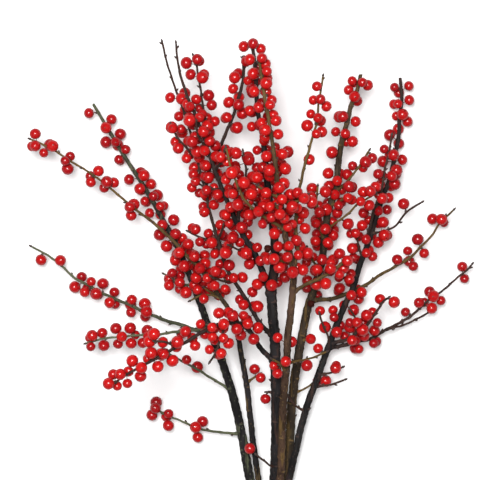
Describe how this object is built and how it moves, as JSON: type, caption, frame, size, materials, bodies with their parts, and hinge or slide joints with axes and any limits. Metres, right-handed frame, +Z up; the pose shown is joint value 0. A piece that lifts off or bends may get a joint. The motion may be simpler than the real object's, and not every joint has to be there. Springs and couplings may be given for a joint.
{
  "type": "winterberry bunch",
  "caption": "Bunch of cut winterberry stems, tied with twine near the cut ends, with forking bare twigs and clusters of red berries on short stalks, lying on its side.",
  "frame": {"origin": "on the surface that the bunch lies on, under the middle of the twine", "axes": "+Y from the cut ends to the tips, +Z up from the surface, +X to the right of the tips seen from above"},
  "size_m": [0.3873, 0.5142, 0.1353],
  "materials": {
    "fruited_stem": "glossy red berries on dull dark bark",
    "bark": "dull, finely cracked, with pale pores",
    "berry": "smooth, glossy",
    "twine": "rough, twisted fibre"
  },
  "bodies": {
    "root": {"stem_left": "fruited_stem", "stem_long": "fruited_stem", "stem_dark": "fruited_stem", "stem_front": "fruited_stem", "stem_middle": "fruited_stem", "stem_right": "fruited_stem", "tie": "twine"}
  },
  "joints": []
}
